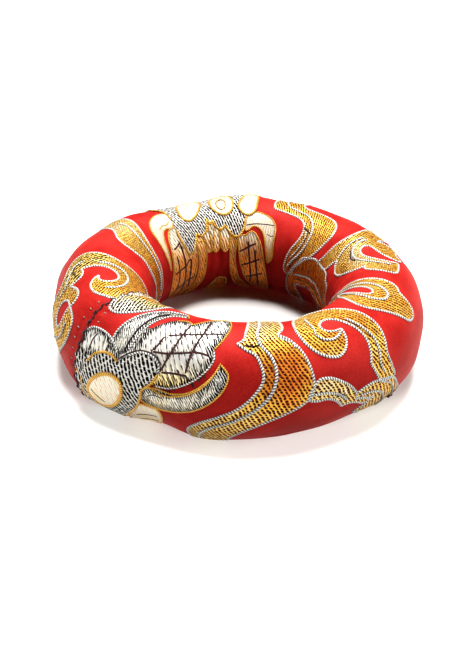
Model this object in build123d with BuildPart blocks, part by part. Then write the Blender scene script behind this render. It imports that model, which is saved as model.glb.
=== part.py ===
from build123d import *
import os
from math import cos, radians, sin

# Ring cushion that a singing bowl rests on: a strip of brocade sewn into a closed ring tube
# and stuffed with a firm roll of wadding. It stands on its flattened foot at z = 0 with the
# hole's axis on +Z, and the join in the strip is at the front left (front is -Y).

os.makedirs("parts", exist_ok=True)

# Driving dimensions, mm and degrees
OUTER_DIAMETER = 130.0  # across the whole ring
HEIGHT = 36.0  # standing on the flattened foot
TUBE_WIDTH = 33.0  # across the stuffed tube, in plan
FOOT_SINK = 1.2  # how far the round underside is pressed flat
FOOT_EDGE_RADIUS = 6.0  # soft edge round the flattened foot
CLOTH = 0.7  # brocade with its backing
LAYER_GAP = 0.1  # between cloths that lie on each other
WADDING_GAP = 0.25  # between the wadding and the cloth round it
THREAD = 0.6  # diameter of the doubled hand-sewing thread

JOIN_AZIMUTH = 220.5  # edge of the folded hem
HEM_ARC = 8.0  # length of the folded hem along the ring
DIP_ARC = 5.0  # where the other end dips before it goes under the hem
JOIN_STITCHES = 26
JOIN_FIRST_ANGLE = -48.0  # round the tube: 0 is outermost, 90 is on top
JOIN_LAST_ANGLE = 222.0
JOIN_SIDE = 1.5  # from the hem's edge to where a thread goes in

SEAM_ANGLE = -56.0  # the long seam runs low on the outer side
SEAM_GROOVE = 0.45  # radius of the furrow where the two edges meet
SEAM_ALLOWANCE_ANGLE = -38.0  # the turned-in edges reach this far up inside
SEAM_STITCHES = 90
SEAM_HALF_STITCH = 1.1  # half the length that shows across the furrow
SEAM_THREAD = 0.4

RING_RADIUS = (OUTER_DIAMETER - TUBE_WIDTH) / 2
HALF_WIDTH = TUBE_WIDTH / 2
HALF_HEIGHT = (HEIGHT + FOOT_SINK) / 2
TUBE_CENTRE_Z = HEIGHT - HALF_HEIGHT

# Depths under the cover's outer face, at the join: the hem is two cloths thick and the
# other end of the strip runs under it.
HEM_DEPTH = 2 * CLOTH
TUCK_DEPTH = HEM_DEPTH + LAYER_GAP
JOIN_INSIDE = TUCK_DEPTH + CLOTH


def section_plane(azimuth):
    """Upright plane through the ring's axis: its x is the radius and its y the height."""
    return Plane.XZ.rotated((0, 0, azimuth))


def draw_tube(sketch, depth):
    """Draw the tube's section in the open sketch, `depth` under the cover's outer face."""
    with Locations((RING_RADIUS, TUBE_CENTRE_Z)):
        Ellipse(HALF_WIDTH - depth, HALF_HEIGHT - depth)
    with Locations((RING_RADIUS, depth)):
        Rectangle(TUBE_WIDTH, HEIGHT, align=(Align.CENTER, Align.MAX), mode=Mode.SUBTRACT)
    fillet(sketch.vertices().group_by(Axis.Y)[0], FOOT_EDGE_RADIUS)


def tube_profile(azimuth, depth):
    """The tube's section at one azimuth, as a sketch of its own."""
    with BuildSketch(section_plane(azimuth)) as profile:
        draw_tube(profile, depth)
    return profile.sketch


def cloth_profile(azimuth, outer_depth, inner_depth):
    """The closed band between two depths: one or more cloths in section."""
    outer = tube_profile(azimuth, outer_depth)
    inner = tube_profile(azimuth, inner_depth)
    return outer - inner


def allowance_profile(azimuth, outer_depth, inner_depth, spare):
    """The seam's turned-in edges, a band that covers only the low outer side."""
    reach = 2 * HALF_HEIGHT
    with BuildSketch(section_plane(azimuth)) as wedge:
        with BuildLine():
            Polyline(
                (RING_RADIUS, TUBE_CENTRE_Z),
                *[
                    (
                        RING_RADIUS + reach * cos(radians(angle)),
                        TUBE_CENTRE_Z + reach * sin(radians(angle)),
                    )
                    for angle in (SEAM_ANGLE - 5 - spare, SEAM_ALLOWANCE_ANGLE + spare)
                ],
                close=True,
            )
        make_face()
    return cloth_profile(azimuth, outer_depth, inner_depth) & wedge.sketch


def surface_plane(azimuth, angle):
    """Plane on the cover's outer face: x runs along the ring, y points out of the cloth."""
    round_radius = RING_RADIUS + HALF_WIDTH * cos(radians(angle))
    height = TUBE_CENTRE_Z + HALF_HEIGHT * sin(radians(angle))
    outward_flat = cos(radians(angle)) / HALF_WIDTH
    outward_up = sin(radians(angle)) / HALF_HEIGHT
    across = Vector(cos(radians(azimuth)), sin(radians(azimuth)), 0)
    along = Vector(-sin(radians(azimuth)), cos(radians(azimuth)), 0)
    outward = Vector(across.X * outward_flat, across.Y * outward_flat, outward_up).normalized()
    origin = Vector(across.X * round_radius, across.Y * round_radius, height)
    return Plane(origin=origin, x_dir=along, z_dir=along.cross(outward))


def even_angles(first, last, count):
    return [first + (last - first) * i / (count - 1) for i in range(count)]


# Brocade cover: one cloth all round, a folded hem at one end of the strip and a tucked end
# that dips and runs under it
with BuildPart() as brocade_cover:
    # the dip, as an outer form with its hollow taken out
    dip_steps = even_angles(0, 1, 3)
    loft([tube_profile(JOIN_AZIMUTH - DIP_ARC * (1 - s), TUCK_DEPTH * s) for s in dip_steps])
    loft(
        [
            tube_profile(JOIN_AZIMUTH - DIP_ARC * (1 - s), TUCK_DEPTH * s + CLOTH)
            for s in dip_steps
        ],
        mode=Mode.SUBTRACT,
    )
    # the tucked end, the hem and the rest of the ring
    revolve(
        cloth_profile(JOIN_AZIMUTH, TUCK_DEPTH, JOIN_INSIDE),
        axis=Axis.Z,
        revolution_arc=HEM_ARC,
    )
    revolve(cloth_profile(JOIN_AZIMUTH, 0, HEM_DEPTH), axis=Axis.Z, revolution_arc=HEM_ARC)
    revolve(
        cloth_profile(JOIN_AZIMUTH + HEM_ARC, 0, CLOTH),
        axis=Axis.Z,
        revolution_arc=360 - HEM_ARC - DIP_ARC,
    )
    # the long seam: its edges turned in, and the furrow where they meet
    revolve(
        allowance_profile(JOIN_AZIMUTH + HEM_ARC, CLOTH / 2, 2 * CLOTH, spare=0),
        axis=Axis.Z,
        revolution_arc=360 - HEM_ARC - DIP_ARC,
    )
    with BuildSketch(section_plane(JOIN_AZIMUTH + HEM_ARC)):
        with Locations(
            (
                RING_RADIUS + HALF_WIDTH * cos(radians(SEAM_ANGLE)),
                TUBE_CENTRE_Z + HALF_HEIGHT * sin(radians(SEAM_ANGLE)),
            )
        ):
            Circle(SEAM_GROOVE)
    revolve(axis=Axis.Z, revolution_arc=360 - HEM_ARC - DIP_ARC, mode=Mode.SUBTRACT)
brocade_cover.part.label = "brocade_cover"
export_step(brocade_cover.part, "parts/brocade_cover.step")

# Wadding roll: a full ring whose two ends meet at the join, thinner where the hem and the
# turned-in edges take up room
BUTT_GAP_ARC = 0.6
END_ARC = HEM_ARC + 3.0
with BuildPart() as wadding_roll:
    revolve(
        tube_profile(JOIN_AZIMUTH + END_ARC, CLOTH + WADDING_GAP),
        axis=Axis.Z,
        revolution_arc=360 - END_ARC - DIP_ARC - BUTT_GAP_ARC,
    )
    revolve(
        tube_profile(JOIN_AZIMUTH - DIP_ARC, JOIN_INSIDE + WADDING_GAP),
        axis=Axis.Z,
        revolution_arc=END_ARC + DIP_ARC,
    )
    revolve(
        allowance_profile(JOIN_AZIMUTH, 0, 2 * CLOTH + WADDING_GAP, spare=2),
        axis=Axis.Z,
        revolution_arc=360,
        mode=Mode.SUBTRACT,
    )
wadding_roll.part.label = "wadding_roll"
export_step(wadding_roll.part, "parts/wadding_roll.step")

# Join stitches: each is a short thread over the hem's edge, drawn down on the dipped side
BRIDGE = THREAD / 2 + 0.06
with BuildPart() as join_stitches:
    for angle in even_angles(JOIN_FIRST_ANGLE, JOIN_LAST_ANGLE, JOIN_STITCHES):
        with BuildLine(surface_plane(JOIN_AZIMUTH, angle)) as stitch:
            FilletPolyline(
                (JOIN_SIDE, BRIDGE),
                (-JOIN_SIDE / 3, BRIDGE),
                (-JOIN_SIDE, 0),
                radius=0.6,
            )
        with BuildSketch(Plane(origin=stitch.line @ 0, z_dir=stitch.line % 0)):
            Circle(THREAD / 2)
        sweep()
join_stitches.part.label = "join_stitches"
export_step(join_stitches.part, "parts/join_stitches.step")

# Long seam stitches: short threads laid across the furrow
with BuildPart() as long_seam_stitches:
    first_stitch = JOIN_AZIMUTH + HEM_ARC + 2
    last_stitch = JOIN_AZIMUTH + 360 - DIP_ARC - 2
    for azimuth in even_angles(first_stitch, last_stitch, SEAM_STITCHES):
        place = surface_plane(azimuth, SEAM_ANGLE)
        lift = place.y_dir * (SEAM_THREAD / 2 + 0.05)
        with BuildSketch(Plane(origin=place.origin + lift, z_dir=place.z_dir)):
            Circle(SEAM_THREAD / 2)
        extrude(amount=SEAM_HALF_STITCH, both=True)
long_seam_stitches.part.label = "long_seam_stitches"
export_step(long_seam_stitches.part, "parts/long_seam_stitches.step")


def tie_knot(place, thread):
    """A pulled-tight loop of thread with its cut end through it, in the open part."""
    loop = thread * 0.75
    lift = place.y_dir * (thread / 2 + 0.1)
    with Locations(Plane(origin=place.origin + lift, z_dir=place.y_dir)):
        Torus(loop, thread / 2)
    with BuildSketch(Plane(origin=place.origin + lift * 1.3, z_dir=place.x_dir)) as cut_end:
        Circle(thread * 0.4)
    extrude(cut_end.sketch, amount=loop + thread * 1.2, both=True)


# Knot that ends the join thread, at the foot of the join
with BuildPart() as join_knot:
    tie_knot(surface_plane(JOIN_AZIMUTH - 1.0, JOIN_FIRST_ANGLE - 6), THREAD)
join_knot.part.label = "join_knot"
export_step(join_knot.part, "parts/join_knot.step")

# Knot with a cut end, where the long seam's thread stops at the right
SEAM_KNOT_AZIMUTH = 326.0
with BuildPart() as seam_knot:
    tie_knot(surface_plane(SEAM_KNOT_AZIMUTH, SEAM_ANGLE + 10), THREAD)
seam_knot.part.label = "seam_knot"
export_step(seam_knot.part, "parts/seam_knot.step")
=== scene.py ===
import math

import bpy
import numpy as np
from mathutils import Matrix, Vector, geometry


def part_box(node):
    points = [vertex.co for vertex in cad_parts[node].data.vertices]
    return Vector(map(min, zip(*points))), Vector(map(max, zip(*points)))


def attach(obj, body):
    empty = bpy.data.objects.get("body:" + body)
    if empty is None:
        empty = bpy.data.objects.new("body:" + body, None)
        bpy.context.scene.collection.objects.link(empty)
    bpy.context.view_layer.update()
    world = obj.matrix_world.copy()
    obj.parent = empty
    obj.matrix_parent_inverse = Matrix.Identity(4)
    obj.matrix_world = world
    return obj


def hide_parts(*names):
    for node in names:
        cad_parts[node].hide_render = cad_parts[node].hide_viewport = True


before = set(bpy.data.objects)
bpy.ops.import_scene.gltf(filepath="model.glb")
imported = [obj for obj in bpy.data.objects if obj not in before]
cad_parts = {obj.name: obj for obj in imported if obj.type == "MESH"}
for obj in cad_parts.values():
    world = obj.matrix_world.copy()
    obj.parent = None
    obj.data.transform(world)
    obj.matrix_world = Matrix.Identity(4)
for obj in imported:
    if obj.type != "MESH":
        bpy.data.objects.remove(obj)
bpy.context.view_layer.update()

# A stuffed brocade ring cushion. Lengths are in millimetres until a mesh is written.
# The cover is one strip of cloth, so a place on it is given in flat strip millimetres:
# x runs along the ring from the right-hand side, counter-clockwise seen from above, and
# y runs round the tube: 0 on the outermost line, a quarter of GIRTH on top, half of it on
# the hole's wall and minus a quarter underneath.

MM = 0.001
TURN = 2 * math.pi
cover_low, cover_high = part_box("brocade_cover")
OUTER_RADIUS = (cover_high.x - cover_low.x) / MM / 2
HEIGHT = cover_high.z / MM
TUBE_WIDTH = 33.0
FOOT_SINK = 1.2
HALF_WIDTH = TUBE_WIDTH / 2
HALF_HEIGHT = (HEIGHT + FOOT_SINK) / 2
RING_RADIUS = OUTER_RADIUS - HALF_WIDTH
CENTRE_Z = HEIGHT - HALF_HEIGHT
STRIP = TURN * RING_RADIUS
GIRTH = math.pi * (HALF_WIDTH + HALF_HEIGHT)

JOIN_X = 220.5 / 360 * STRIP  # the hem's edge, at the front left
JOIN_LOW_Y, JOIN_HIGH_Y = -48 / 360 * GIRTH, 222 / 360 * GIRTH  # its sewn part
STITCH_PITCH = 3.4  # between the gathers that the join's thread pulls in
SEAM_Y = -56 / 360 * GIRTH  # the long seam, low on the outer side

rng = np.random.default_rng(7)


# ---------------------------------------------------------------- the stuffed ring's shape

COLUMNS, ROWS = 180, 60
# Where the stuffing stands proud or falls short, as (azimuth, spread, angle round the
# tube, spread, millimetres)
BULGES = [
    (332, 12, -30, 36, 0.9),
    (216, 20, -34, 40, 2.4),
    (170, 26, 10, 60, 0.9),
    (120, 17, 62, 50, -2.0),
    (88, 14, 70, 50, 1.3),
    (303, 17, -35, 40, -1.7),
    (247, 9, -45, 40, -1.6),
    (8, 24, 5, 60, -1.2),
    (37, 14, 10, 60, 0.9),
    (265, 16, -20, 60, 0.3),
]
# Low lumps of wadding, as (millimetres, waves along the ring, waves round the tube, phase)
LUMPS = [(0.22, 5, 2, 0.6), (0.16, 9, -3, 2.1), (0.10, 17, 4, 4.0), (0.09, 13, -5, 0.0)]

SLACK = 0.2  # how much smaller the cover is before the cloth simulation
BLOWN_CAP = 1.6  # the furthest the simulation may move a point
BLOWN_FRAMES = 20
HELD_FOOT_ROWS = 3  # rows of the grid held each side of the foot's middle

HEM_RISE, DIP_DEPTH = 0.50, 1.05
DIMPLE_DEPTH, RIPPLE = 0.30, 0.15
SEAM_DEPTH, SEAM_RIDGE = 0.55, 0.28
FOOT_SOFTNESS = 0.6  # how gently the round side turns into the flat foot


def wrapped(d, period):
    return (d + period / 2) % period - period / 2


def bell(d, spread):
    return np.exp(-((d / spread) ** 2))


def unit(vectors):
    return vectors / np.linalg.norm(vectors, axis=-1, keepdims=True)


def stuffed_ring(slack=0.0):
    """The stuffed ring as a grid of points, `slack` smaller all round the tube."""
    azimuth = np.arange(COLUMNS) / COLUMNS * 360
    angle = np.arange(ROWS) / ROWS * 360
    a, t = np.meshgrid(azimuth, angle, indexing="ij")
    grow = np.full_like(a, -slack)
    for at, spread, round_at, round_spread, amount in BULGES:
        grow += amount * bell(wrapped(a - at, 360), spread) * bell(
            wrapped(t - round_at, 360), round_spread
        )
    ar, tr = np.radians(a), np.radians(t)
    radius = RING_RADIUS + (HALF_WIDTH + grow) * np.cos(tr)
    height = CENTRE_Z + (HALF_HEIGHT + grow) * np.sin(tr)
    return np.stack([radius * np.cos(ar), radius * np.sin(ar), height], -1)


def ring_faces(columns, rows):
    i, j = np.meshgrid(np.arange(columns), np.arange(rows), indexing="ij")
    i2, j2 = (i + 1) % columns, (j + 1) % rows
    quads = np.stack([i * rows + j, i2 * rows + j, i2 * rows + j2, i * rows + j2], -1)
    return quads.reshape(-1, 4).tolist()


def blow_up(start, cap):
    """Blow the slack ring up as cloth held at its foot, its join and its long seam."""
    scene = bpy.context.scene
    mesh = bpy.data.meshes.new("slack_cover")
    mesh.from_pydata((start * MM).reshape(-1, 3).tolist(), [], ring_faces(COLUMNS, ROWS))
    cloth_ring = bpy.data.objects.new("slack_cover", mesh)
    scene.collection.objects.link(cloth_ring)
    held = cloth_ring.vertex_groups.new(name="held")
    join_column = round(JOIN_X / STRIP * COLUMNS)
    seam_row = round(SEAM_Y / GIRTH * ROWS) % ROWS
    for i in range(COLUMNS):
        for j in range(ROWS):
            at_foot = abs(wrapped(j - 0.75 * ROWS, ROWS)) < HELD_FOOT_ROWS
            if i == join_column or j == seam_row or at_foot:
                held.add([i * ROWS + j], 1.0, "REPLACE")
    cloth = cloth_ring.modifiers.new("cloth", "CLOTH").settings
    cloth.quality = 6
    cloth.mass = 0.25
    cloth.tension_stiffness = 12
    cloth.compression_stiffness = 12
    cloth.bending_stiffness = 0.4
    cloth.use_pressure = True
    cloth.uniform_pressure_force = 4
    cloth.effector_weights.gravity = 0
    cloth.vertex_group_mass = "held"
    for moment in range(1, BLOWN_FRAMES + 1):
        scene.frame_set(moment)
    blown = cloth_ring.evaluated_get(bpy.context.evaluated_depsgraph_get())
    points = np.zeros(COLUMNS * ROWS * 3)
    blown.data.vertices.foreach_get("co", points)
    scene.frame_set(1)
    bpy.data.objects.remove(cloth_ring)
    bpy.data.meshes.remove(mesh)
    moved_by = points.reshape(start.shape) / MM - start
    # the wadding keeps the cloth from going inwards
    along = np.roll(start, -1, 0) - np.roll(start, 1, 0)
    normal = unit(np.cross(along, np.roll(start, -1, 1) - np.roll(start, 1, 1)))
    outward = np.sum(moved_by * normal, -1, keepdims=True)
    moved_by = moved_by - normal * np.minimum(outward, 0)
    length = np.linalg.norm(moved_by, axis=-1, keepdims=True)
    return start + moved_by * np.minimum(1, cap / np.maximum(length, 1e-6))


ring = blow_up(stuffed_ring(SLACK), BLOWN_CAP)


def interpolate(grid, x, y):
    """Smooth periodic interpolation of a grid that covers the whole strip."""
    columns, rows = grid.shape[:2]
    gx, gy = x / STRIP * columns, y / GIRTH * rows
    i, j = np.floor(gx).astype(int), np.floor(gy).astype(int)

    def weights(f):
        return (
            -0.5 * f + f**2 - 0.5 * f**3,
            1 - 2.5 * f**2 + 1.5 * f**3,
            0.5 * f + 2 * f**2 - 1.5 * f**3,
            -0.5 * f**2 + 0.5 * f**3,
        )

    wx, wy = weights(gx - i), weights(gy - j)
    total = 0
    for a in range(4):
        for b in range(4):
            part = grid[(i + a - 1) % columns, (j + b - 1) % rows]
            total = total + (wx[a] * wy[b])[:, None] * part
    return total


def join_wander(y):
    """How far the drawn-in crease of the join strays from a straight line."""
    return -0.30 * np.cos(TURN * y / STITCH_PITCH) - 0.22 * np.sin(0.37 * y + 1.0)


def relief(x, y):
    """Fine shape on top of the stuffed ring: join, long seam, lumps and gathers."""
    # the join: the hem stands up on one side, the tucked end dips on the other
    d = wrapped(x - JOIN_X, STRIP)
    d = d - join_wander(y) * bell(d, 3.0)
    on_hem = np.clip((d + 0.12) / 0.3, 0, 1)
    on_hem = on_hem * on_hem * (3 - 2 * on_hem)
    hem = HEM_RISE * on_hem * bell(np.maximum(d, 0), 8.0)
    dip = -DIP_DEPTH * (1 - on_hem) * np.exp(-np.maximum(-d, 0) / 1.3)
    # dimples where the needle went in beside it, and ripples that the thread pulls in
    phase = TURN * y / STITCH_PITCH
    beside = bell(np.abs(d) - 2.3, 0.75)
    dimples = -DIMPLE_DEPTH * beside * (0.5 + 0.5 * np.cos(phase + math.pi * (d > 0)))
    ripples = RIPPLE * np.cos(phase) * np.exp(-np.abs(d) / 3.5)
    # the long seam: a furrow between two low ridges
    across = wrapped(y - SEAM_Y, GIRTH)
    seam = -SEAM_DEPTH * bell(across, 0.5) + SEAM_RIDGE * bell(np.abs(across) - 1.5, 0.9)
    a, t = TURN * x / STRIP, TURN * y / GIRTH
    lumps = sum(high * np.sin(m * a + n * t + at) for high, m, n, at in LUMPS)
    # fine gathers on the hole's wall, where the strip has cloth to spare
    on_wall = bell(wrapped(t - math.pi, TURN), 0.75)
    gathers = 0.16 * np.sin(41 * a + 2.2 * np.sin(3 * a)) + 0.10 * np.sin(67 * a + np.sin(5 * a))
    return hem + dip + dimples + ripples + seam + lumps + on_wall * gathers


def on_cushion(x, y, lift):
    """Points `lift` above the cloth at flat places (x, y), in millimetres."""
    x, y = np.asarray(x, float), np.asarray(y, float)
    reach = 0.6
    along = interpolate(ring, x + reach, y) - interpolate(ring, x - reach, y)
    round_tube = interpolate(ring, x, y + reach) - interpolate(ring, x, y - reach)
    normal = unit(np.cross(along, round_tube))
    point = interpolate(ring, x, y) + normal * (relief(x, y) + lift)[:, None]
    # the foot is pressed flat by what it stands on
    z = point[:, 2]
    point[:, 2] = (z + np.sqrt(z * z + FOOT_SOFTNESS)) / 2
    return point


# ---------------------------------------------------------------- meshes on the cushion

BASE_LIFT = 0.16  # how far a motif's weave stands proud of the satin
LEVEL_STEP = 0.22  # between one layer of a motif and the next
SPACING = 1.3  # between the points inside a motif
PATCH_FOOT = -0.1  # how far a weave's side reaches into the satin
CORD_SINK = 0.12
TONE_AND_PAINTED_LIGHT_SCALE = 10  # a shade of 1 is written as this many millimetres in its UV set
CORD_SECTION = [(-1.0, 0.0), (-0.75, 0.62), (0.0, 1.0), (0.75, 0.62), (1.0, 0.0)]


def add_piece(name, points, faces, material, **uv_sets):
    """A smooth-shaded object. Each UV set gives a place in millimetres per face corner."""
    mesh = bpy.data.meshes.new(name)
    mesh.from_pydata((points * MM).tolist(), [], faces)
    for set_name, corners in uv_sets.items():
        layer = mesh.uv_layers.new(name=set_name)
        layer.data.foreach_set("uv", (corners / STRIP).ravel())
    mesh.uv_layers.active = mesh.uv_layers["flat"]
    mesh.polygons.foreach_set("use_smooth", [True] * len(mesh.polygons))
    mesh.materials.append(material)
    mesh.update()
    piece = bpy.data.objects.new(name, mesh)
    bpy.context.scene.collection.objects.link(piece)
    return piece


class Sheet:
    """Mesh data laid out flat: places on the strip with a lift, faces and two UV sets."""

    def __init__(self):
        self.xy, self.lift, self.uv, self.dye, self.faces = [], [], [], [], []
        self.count = 0

    def add(self, xy, lift, faces, uv=None, dye=None):
        self.xy.append(np.asarray(xy, float))
        self.lift.append(np.broadcast_to(np.asarray(lift, float), (len(xy),)))
        self.uv.append(np.asarray(xy if uv is None else uv, float))
        self.dye.append(np.zeros((len(xy), 2)) if dye is None else dye)
        self.faces += [tuple(int(k) + self.count for k in f) for f in faces]
        self.count += len(xy)

    def build(self, name, material):
        xy, lift, uv, dye = (
            np.concatenate(part) for part in (self.xy, self.lift, self.uv, self.dye)
        )
        corners = [k for face in self.faces for k in face]
        points = on_cushion(xy[:, 0], xy[:, 1], lift)
        return add_piece(name, points, self.faces, material, flat=uv[corners], dye=dye[corners])


def smooth(points, closed, step=0.7):
    """A curve through listed points. A point given twice in a row is a sharp corner."""
    pts, corner = [], []
    for p in points:
        if pts and pts[-1] == p:
            corner[-1] = True
        else:
            pts.append(p)
            corner.append(False)
    if closed and any(corner):
        first = corner.index(True)
        pts, corner = pts[first:] + pts[:first], corner[first:] + corner[:first]
    p = np.array(pts, float)
    n = len(p)
    out = []
    for k in range(n if closed else n - 1):
        a, b = p[k], p[(k + 1) % n]
        start_free = corner[k] or (not closed and k == 0)
        end_free = corner[(k + 1) % n] or (not closed and k == n - 2)
        before = 2 * a - b if start_free else p[k - 1]
        after = 2 * b - a if end_free else p[(k + 2) % n]
        length = math.dist(a, b)
        gap_in = max(math.dist(before, a), 1e-6)
        gap_out = max(math.dist(b, after), 1e-6)
        leave = (b - a) / 2 + (a - before) * length / gap_in / 2
        arrive = (b - a) / 2 + (after - b) * length / gap_out / 2
        steps = max(1, round(length / step))
        for s in np.arange(steps) / steps:
            out.append(
                (2 * s**3 - 3 * s**2 + 1) * a + (s**3 - 2 * s**2 + s) * leave
                + (-2 * s**3 + 3 * s**2) * b + (s**3 - s**2) * arrive
            )
    if not closed:
        out.append(p[-1])
    return np.array(out)


def from_edge(points, edge):
    """Each point's distance from the nearest point of the outline."""
    return np.hypot(points[:, :1] - edge[None, :, 0], points[:, 1:] - edge[None, :, 1]).min(1)


def inside(points, edge, clearance=0.5):
    """Which points are inside the closed outline, and at least `clearance` from it."""
    x, y = points[:, :1], points[:, 1:]
    (x1, y1), (x2, y2) = edge.T[:, None], np.roll(edge, -1, 0).T[:, None]
    crosses = (y1 > y) != (y2 > y)
    slope = np.where(y2 == y1, 1e-9, y2 - y1)
    left = x < (x2 - x1) * (y - y1) / slope + x1
    return ((crosses & left).sum(1) % 2 == 1) & (from_edge(points, edge) >= clearance)


def fading(*stops):
    """A tone that goes evenly through (y, shade) stops round the tube: the weave's own tone
    for some motifs, painted shade down into the hole for others.
    """
    return lambda x, y: np.interp(y, *zip(*stops))


def gold_tone_and_painted_light(*spots):
    """How pale a gold is, 0 tawny to 1 silver: painted reflection makes it paler low down and
    painted shade darker in the hole, with spots given as (x, y, spread in x, spread in y, amount)."""
    # painted reflection: paler gold low on the outside; painted shade: darker gold deep in the hole
    base = fading((-2, 0.66), (12, 0.50), (42, 0.50), (56, 0.10))
    return lambda x, y: base(x, y) + sum(
        amount * bell(x - at_x, wide) * bell(y - at_y, high)
        for at_x, at_y, wide, high, amount in spots
    )


# the gold's painted reflection and shade alone, with no spots
GOLD_PAINTED_LIGHT = gold_tone_and_painted_light()
WHITENED = fading((0, 0.95))
# painted shade: the weave darkens towards tawny down the hole's wall
PAINTED_HOLE_SHADE = fading((45, 0.55), (60, 0.18))

sheets = {}
placing = {"offset": 0.0, "mirror": 1}


def placed(points):
    """Where the motif being drawn goes: mirrored and moved along the ring."""
    return [(x * placing["mirror"] + placing["offset"], y) for x, y in points]


def sheet(kind):
    return sheets.setdefault(kind, Sheet())


def patch(kind, outline, level=0, dye=GOLD_PAINTED_LIGHT):
    """An area of one weave inside an outline, standing a thread's thickness proud."""
    edge = smooth(placed(outline), True)
    area = np.sum(edge[:, 0] * np.roll(edge[:, 1], -1) - edge[:, 1] * np.roll(edge[:, 0], -1))
    if area < 0:
        edge = edge[::-1]
    low, high = edge.min(0), edge.max(0)
    gx = np.arange(low[0], high[0], SPACING)
    gy = np.arange(low[1], high[1], SPACING)
    fill = np.array([(x + (k % 2) * SPACING / 2, y) for k, y in enumerate(gy) for x in gx])
    flat = np.concatenate([edge, fill[inside(fill, edge)]])
    verts, _, faces, *_ = geometry.delaunay_2d_cdt(
        [Vector(p) for p in flat], [], [list(range(len(edge)))], 1, 1e-6
    )
    lift = BASE_LIFT + LEVEL_STEP * level
    flat = np.array([tuple(v) for v in verts])
    tint = np.stack([from_edge(flat, edge), dye(flat[:, 0], flat[:, 1]) * TONE_AND_PAINTED_LIGHT_SCALE], 1)
    sheet(kind).add(flat, lift, faces, dye=tint)
    n = len(edge)
    sides = [(k, k + n, (k + 1) % n + n, (k + 1) % n) for k in range(n)]
    sheet(kind).add(np.concatenate([edge, edge]), [lift] * n + [PATCH_FOOT] * n, sides)


def line(kind, points, width=0.95, level=0, closed=False, rise=0.2):
    """A cord of weave laid along a curve: half round, with its length in its UV."""
    path = smooth(placed(points), closed, 0.5)
    if closed:
        path = np.concatenate([path, path[:1]])
    # the strip is stretched on the ring's outside and gathered in the hole
    stretch = (RING_RADIUS + HALF_WIDTH * np.cos(TURN * path[:, 1] / GIRTH)) / RING_RADIUS
    to_cloth = np.stack([stretch, np.ones_like(stretch)], 1)
    run = np.gradient(path, axis=0)
    if closed:
        run[0] = run[-1] = path[1] - path[-2]
    run = run * to_cloth
    run /= np.linalg.norm(run, axis=1, keepdims=True) + 1e-9
    side = np.stack([-run[:, 1] / stretch, run[:, 0]], 1)
    step = np.diff(path, axis=0) * to_cloth[1:]
    along = np.concatenate([[0], np.cumsum(np.linalg.norm(step, axis=1))])
    taper = np.ones(len(path))
    if not closed:
        end = np.minimum(along, along[-1] - along)
        taper = 0.35 + 0.65 * np.clip(end / (width * 0.8), 0, 1)
    base = BASE_LIFT + LEVEL_STEP * level - CORD_SINK
    m = len(CORD_SECTION)
    xy, lift, uv = [], [], []
    for k in range(len(path)):
        for across, up in CORD_SECTION:
            xy.append(path[k] + side[k] * across * width / 2 * taper[k])
            lift.append(base + (rise + CORD_SINK) * up * taper[k])
            uv.append((along[k], across))
    faces = [
        (k * m + c + 1, (k + 1) * m + c + 1, (k + 1) * m + c, k * m + c)
        for k in range(len(path) - 1)
        for c in range(m - 1)
    ]
    sheet(kind).add(xy, lift, faces, uv)


def stroke(points, width, level=0):
    """A thin dark line of binding thread, lower than a cord."""
    line("dark_line", points, width, level, rise=0.1)


def motif_shape(kind, outline, cord="white_cord", width=0.95, level=0, dye=GOLD_PAINTED_LIGHT):
    """A patch with a cord along its outline."""
    patch(kind, outline, level, dye)
    line(cord, outline, width, level, closed=True)


def fringe(points, reach, pitch=0.75):
    """Fine dark threads that run off a line in the direction of the weave."""
    for x, y in smooth(placed(points), False, pitch):
        for way in (1, -1):
            if rng.random() < 0.62:
                far = way * reach * rng.uniform(0.35, 1.0)
                x0 = x + rng.uniform(-0.2, 0.2)
                line("dark_line", [(x0, y), (x0 - 0.42 * far, y + far)], 0.32, rise=0.12)


# ---------------------------------------------------------------- brocade motifs
# Outlines are in flat strip millimetres. The weaves are gold, silver, cloud, far_cloud,
# petal, the same petal weave in painted shade for the hole's wall, and boss. A cord or a
# smaller patch that follows part of an outline takes those points from it.


def centre_leaf():
    """Long S-shaped leaf at the front."""
    motif_shape("gold", [
        (231.6, 40), (231.5, 32), (230.6, 26), (229.8, 22.2), (228.3, 20.9), (228.3, 20.9),
        (230.6, 18.8), (232.6, 17.4), (234, 14), (234.4, 10), (232.6, 6), (229.5, 2),
        (225, -1.5), (220.6, -5), (217.7, -9), (217.3, -13), (219, -19), (222.5, -22),
        (225.5, -20), (226.6, -15), (227.6, -11), (230.4, -7), (235, -3.5), (239.5, -0.6),
        (243, 1.8), (245.2, 4.2), (245.9, 8), (245.6, 12), (244.6, 16.5), (243, 20.2),
        (240.4, 22.6), (239.4, 24.2), (241.2, 27), (241.9, 31), (241.6, 36), (240.5, 42),
        (236, 47), (232.6, 45),
    ], dye=gold_tone_and_painted_light((240, 10, 6, 9, -0.40), (236, 31, 10, 9, 0.32)))
    line("white_cord", [
        (235.4, 41), (235.2, 35), (234.8, 30), (233.7, 25), (234.2, 20.6), (236.5, 16.5),
        (237.4, 12), (236.5, 7), (233.4, 2), (229, -2), (223.5, -6), (220.8, -9.6), (219.8, -14),
    ], 1, 1)
    line("white_cord", [(239.4, 24.2), (242.2, 21.4), (243, 18.5)], 0.8, 1)
    line("dark_line", [(230.2, 20.4), (232.3, 20), (234.4, 20.6)], 0.5, 1)


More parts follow.
